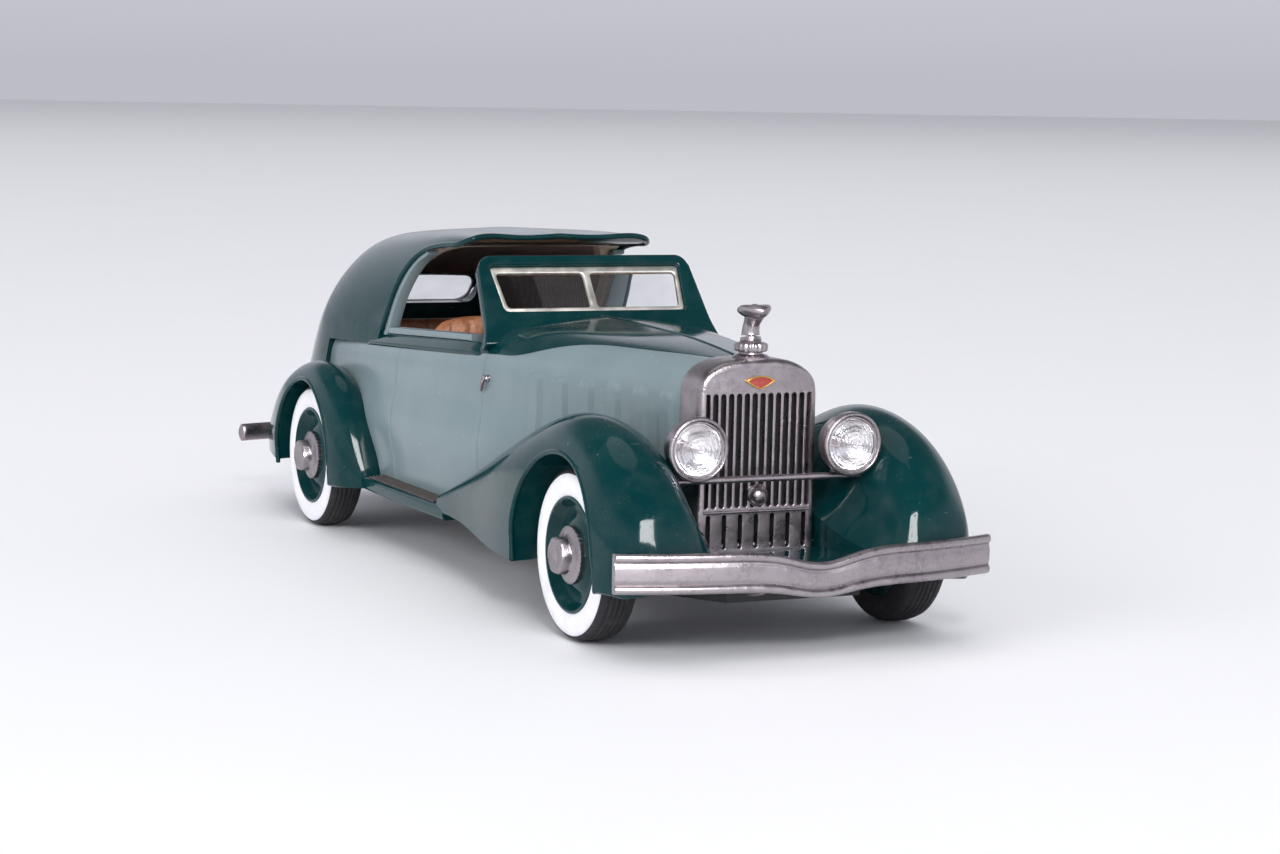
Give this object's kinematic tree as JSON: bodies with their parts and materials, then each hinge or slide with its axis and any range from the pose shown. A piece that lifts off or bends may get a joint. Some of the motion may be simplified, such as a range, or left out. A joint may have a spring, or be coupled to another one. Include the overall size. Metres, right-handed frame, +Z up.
{
  "type": "diecast collector car",
  "caption": "Scale model of a 1930s luxury coupe with an open driver's compartment, pontoon fenders, fastback roof, tall slotted radiator and free-rolling whitewall wheels.",
  "frame": {"origin": "on the ground, under the middle of the car's bounding box", "axes": "+Z up, -Y towards the nose, +X towards the car's left side"},
  "size_m": [0.0434, 0.129, 0.039],
  "materials": {
    "pale_paint": "gloss pale sage grey enamel",
    "dark_paint": "gloss dark green enamel",
    "worn_nickel": "dull, slightly pitted nickel plate",
    "steel": "plain bright steel",
    "black_paint": "satin black",
    "red_enamel": "red and gold hard enamel",
    "clear_glass": "clear",
    "red_glass": "translucent red",
    "tan_leather": "tan, satin",
    "black_rubber": "matte black rubber",
    "white_rubber": "matte white band"
  },
  "bodies": {
    "body": {"chassis_plate": "black_paint", "radiator_core": "black_paint", "steering_wheel": "black_paint", "exhaust_pipe": "steel", "base_screw_front": "steel", "base_screw_rear": "steel", "body_shell": "pale_paint", "window_surround_left": "pale_paint", "window_surround_right": "pale_paint", "roof_shell": "dark_paint", "front_fender_left": "dark_paint", "front_fender_right": "dark_paint", "rear_fender_left": "dark_paint", "rear_fender_right": "dark_paint", "running_board_left": "dark_paint", "running_board_right": "dark_paint", "front_apron": "dark_paint", "windscreen_frame": "dark_paint", "radiator_shell": "worn_nickel", "crank_cover": "worn_nickel", "radiator_cap": "worn_nickel", "mascot": "worn_nickel", "headlamp_bowl_left": "worn_nickel", "headlamp_bowl_right": "worn_nickel", "headlamp_tie_bar": "worn_nickel", "front_bumper": "worn_nickel", "rear_bumper": "worn_nickel", "door_handle_left": "worn_nickel", "door_handle_right": "worn_nickel", "windscreen_trim": "worn_nickel", "radiator_badge": "red_enamel", "headlamp_lens_left": "clear_glass", "headlamp_lens_right": "clear_glass", "windscreen_glass": "clear_glass", "rear_window_glass": "clear_glass", "tail_lamp_left": "red_glass", "tail_lamp_right": "red_glass", "interior_tub": "tan_leather", "front_seat": "tan_leather", "rear_seat": "tan_leather", "dashboard": "tan_leather"},
    "front_axle": {"front_axle": "steel", "wheel_disc_front_left": "dark_paint", "tyre_front_left": "black_rubber", "whitewall_front_left": "white_rubber", "hub_cap_front_left": "worn_nickel", "wheel_disc_front_right": "dark_paint", "tyre_front_right": "black_rubber", "whitewall_front_right": "white_rubber", "hub_cap_front_right": "worn_nickel"},
    "rear_axle": {"rear_axle": "steel", "wheel_disc_rear_left": "dark_paint", "tyre_rear_left": "black_rubber", "whitewall_rear_left": "white_rubber", "hub_cap_rear_left": "worn_nickel", "wheel_disc_rear_right": "dark_paint", "tyre_rear_right": "black_rubber", "whitewall_rear_right": "white_rubber", "hub_cap_rear_right": "worn_nickel"}
  },
  "joints": [
    {"name": "front_axle_spin", "type": "hinge", "parent": "body", "child": "front_axle", "pos_m": [0, -0.0466, 0.00892], "axis": [1, 0, 0], "continuous": true},
    {"name": "rear_axle_spin", "type": "hinge", "parent": "body", "child": "rear_axle", "pos_m": [0, 0.035, 0.00892], "axis": [1, 0, 0], "continuous": true}
  ]
}
